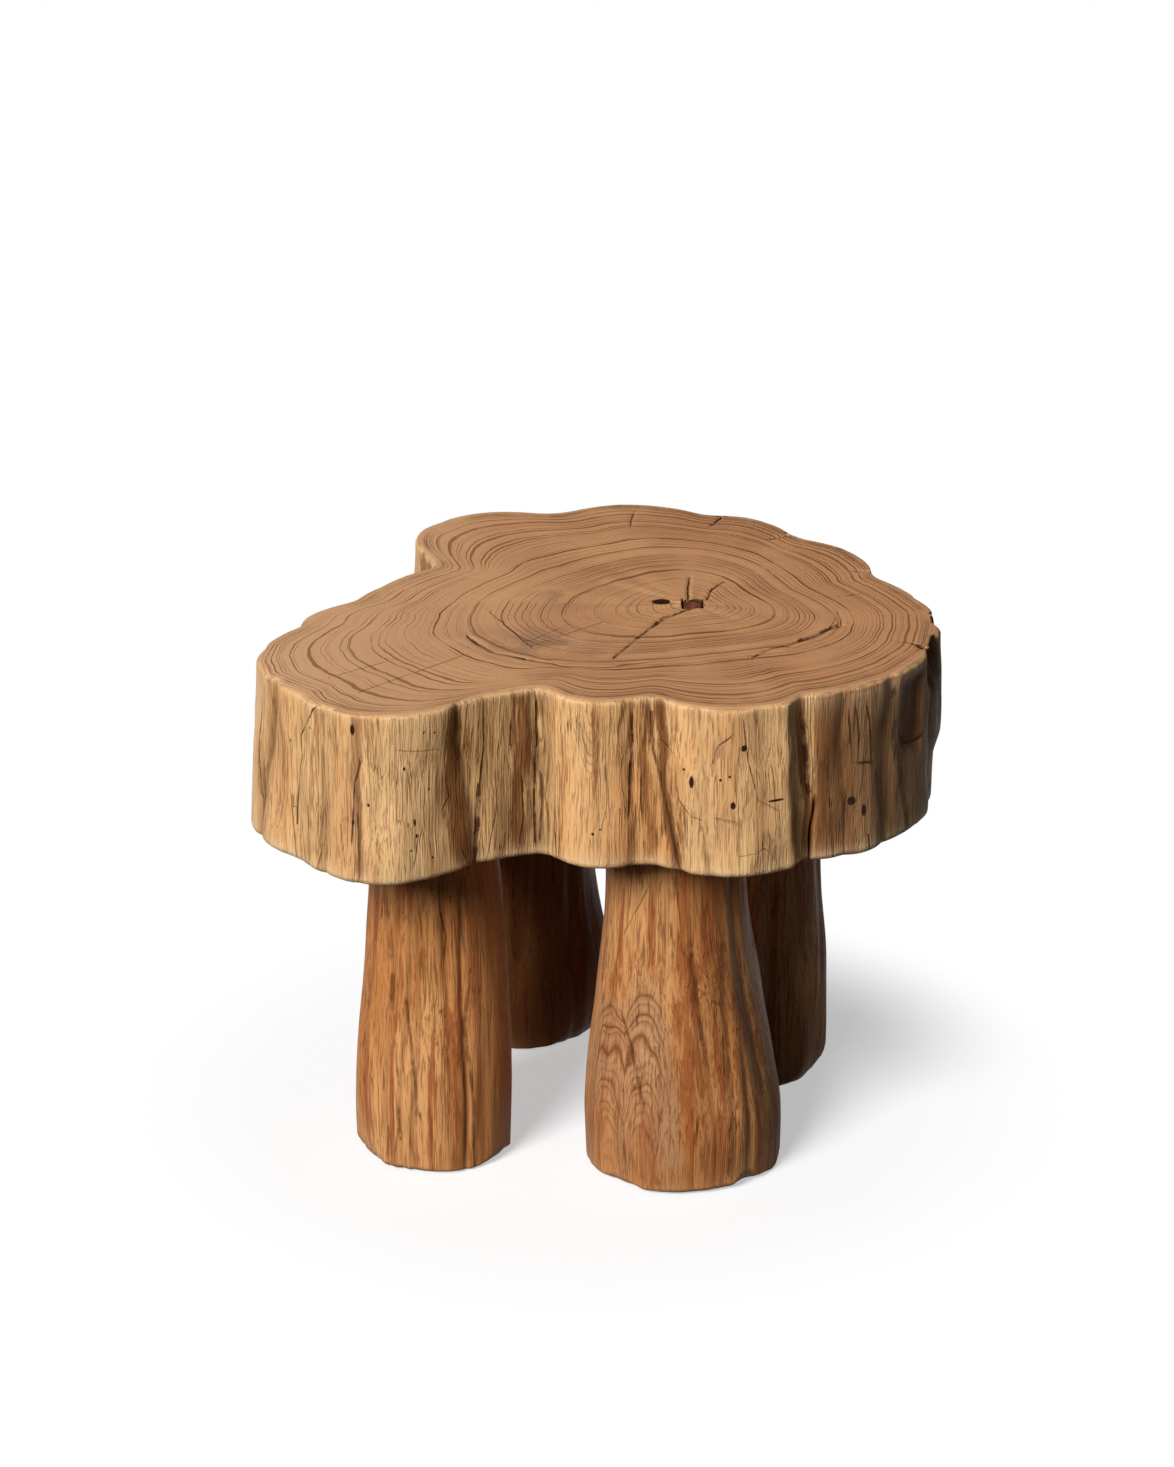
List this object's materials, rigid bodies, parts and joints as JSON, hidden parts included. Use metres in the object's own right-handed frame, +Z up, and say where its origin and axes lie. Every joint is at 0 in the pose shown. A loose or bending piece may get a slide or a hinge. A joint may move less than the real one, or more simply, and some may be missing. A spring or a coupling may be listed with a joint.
{
  "type": "log stool",
  "caption": "Rustic log stool: a thick cross-cut slab of lobed trunk with worn rims on flared, carved wooden legs, each held by a blind wedged tenon.",
  "frame": {"origin": "on the floor, below the middle of the slab's box", "axes": "+Z up, +X along the slab's width to the right, -Y towards the front"},
  "size_m": [0.532, 0.4919, 0.43],
  "materials": {
    "trunk_wood": "oiled end grain on top, debarked and brushed long grain round the sides",
    "leg_wood": "oiled, carved long grain",
    "tenon_wood": "turned, glued",
    "wedge_wood": "split and planed",
    "plug_wood": "rough, unoiled"
  },
  "bodies": {
    "root": {"seat_slab": "trunk_wood", "heart_plug": "plug_wood", "leg_front_left": "leg_wood", "tenon_front_left": "tenon_wood", "wedge_front_left": "wedge_wood", "leg_front_right": "leg_wood", "tenon_front_right": "tenon_wood", "wedge_front_right": "wedge_wood", "leg_rear_left": "leg_wood", "tenon_rear_left": "tenon_wood", "wedge_rear_left": "wedge_wood", "leg_rear_right": "leg_wood", "tenon_rear_right": "tenon_wood", "wedge_rear_right": "wedge_wood"}
  },
  "joints": []
}
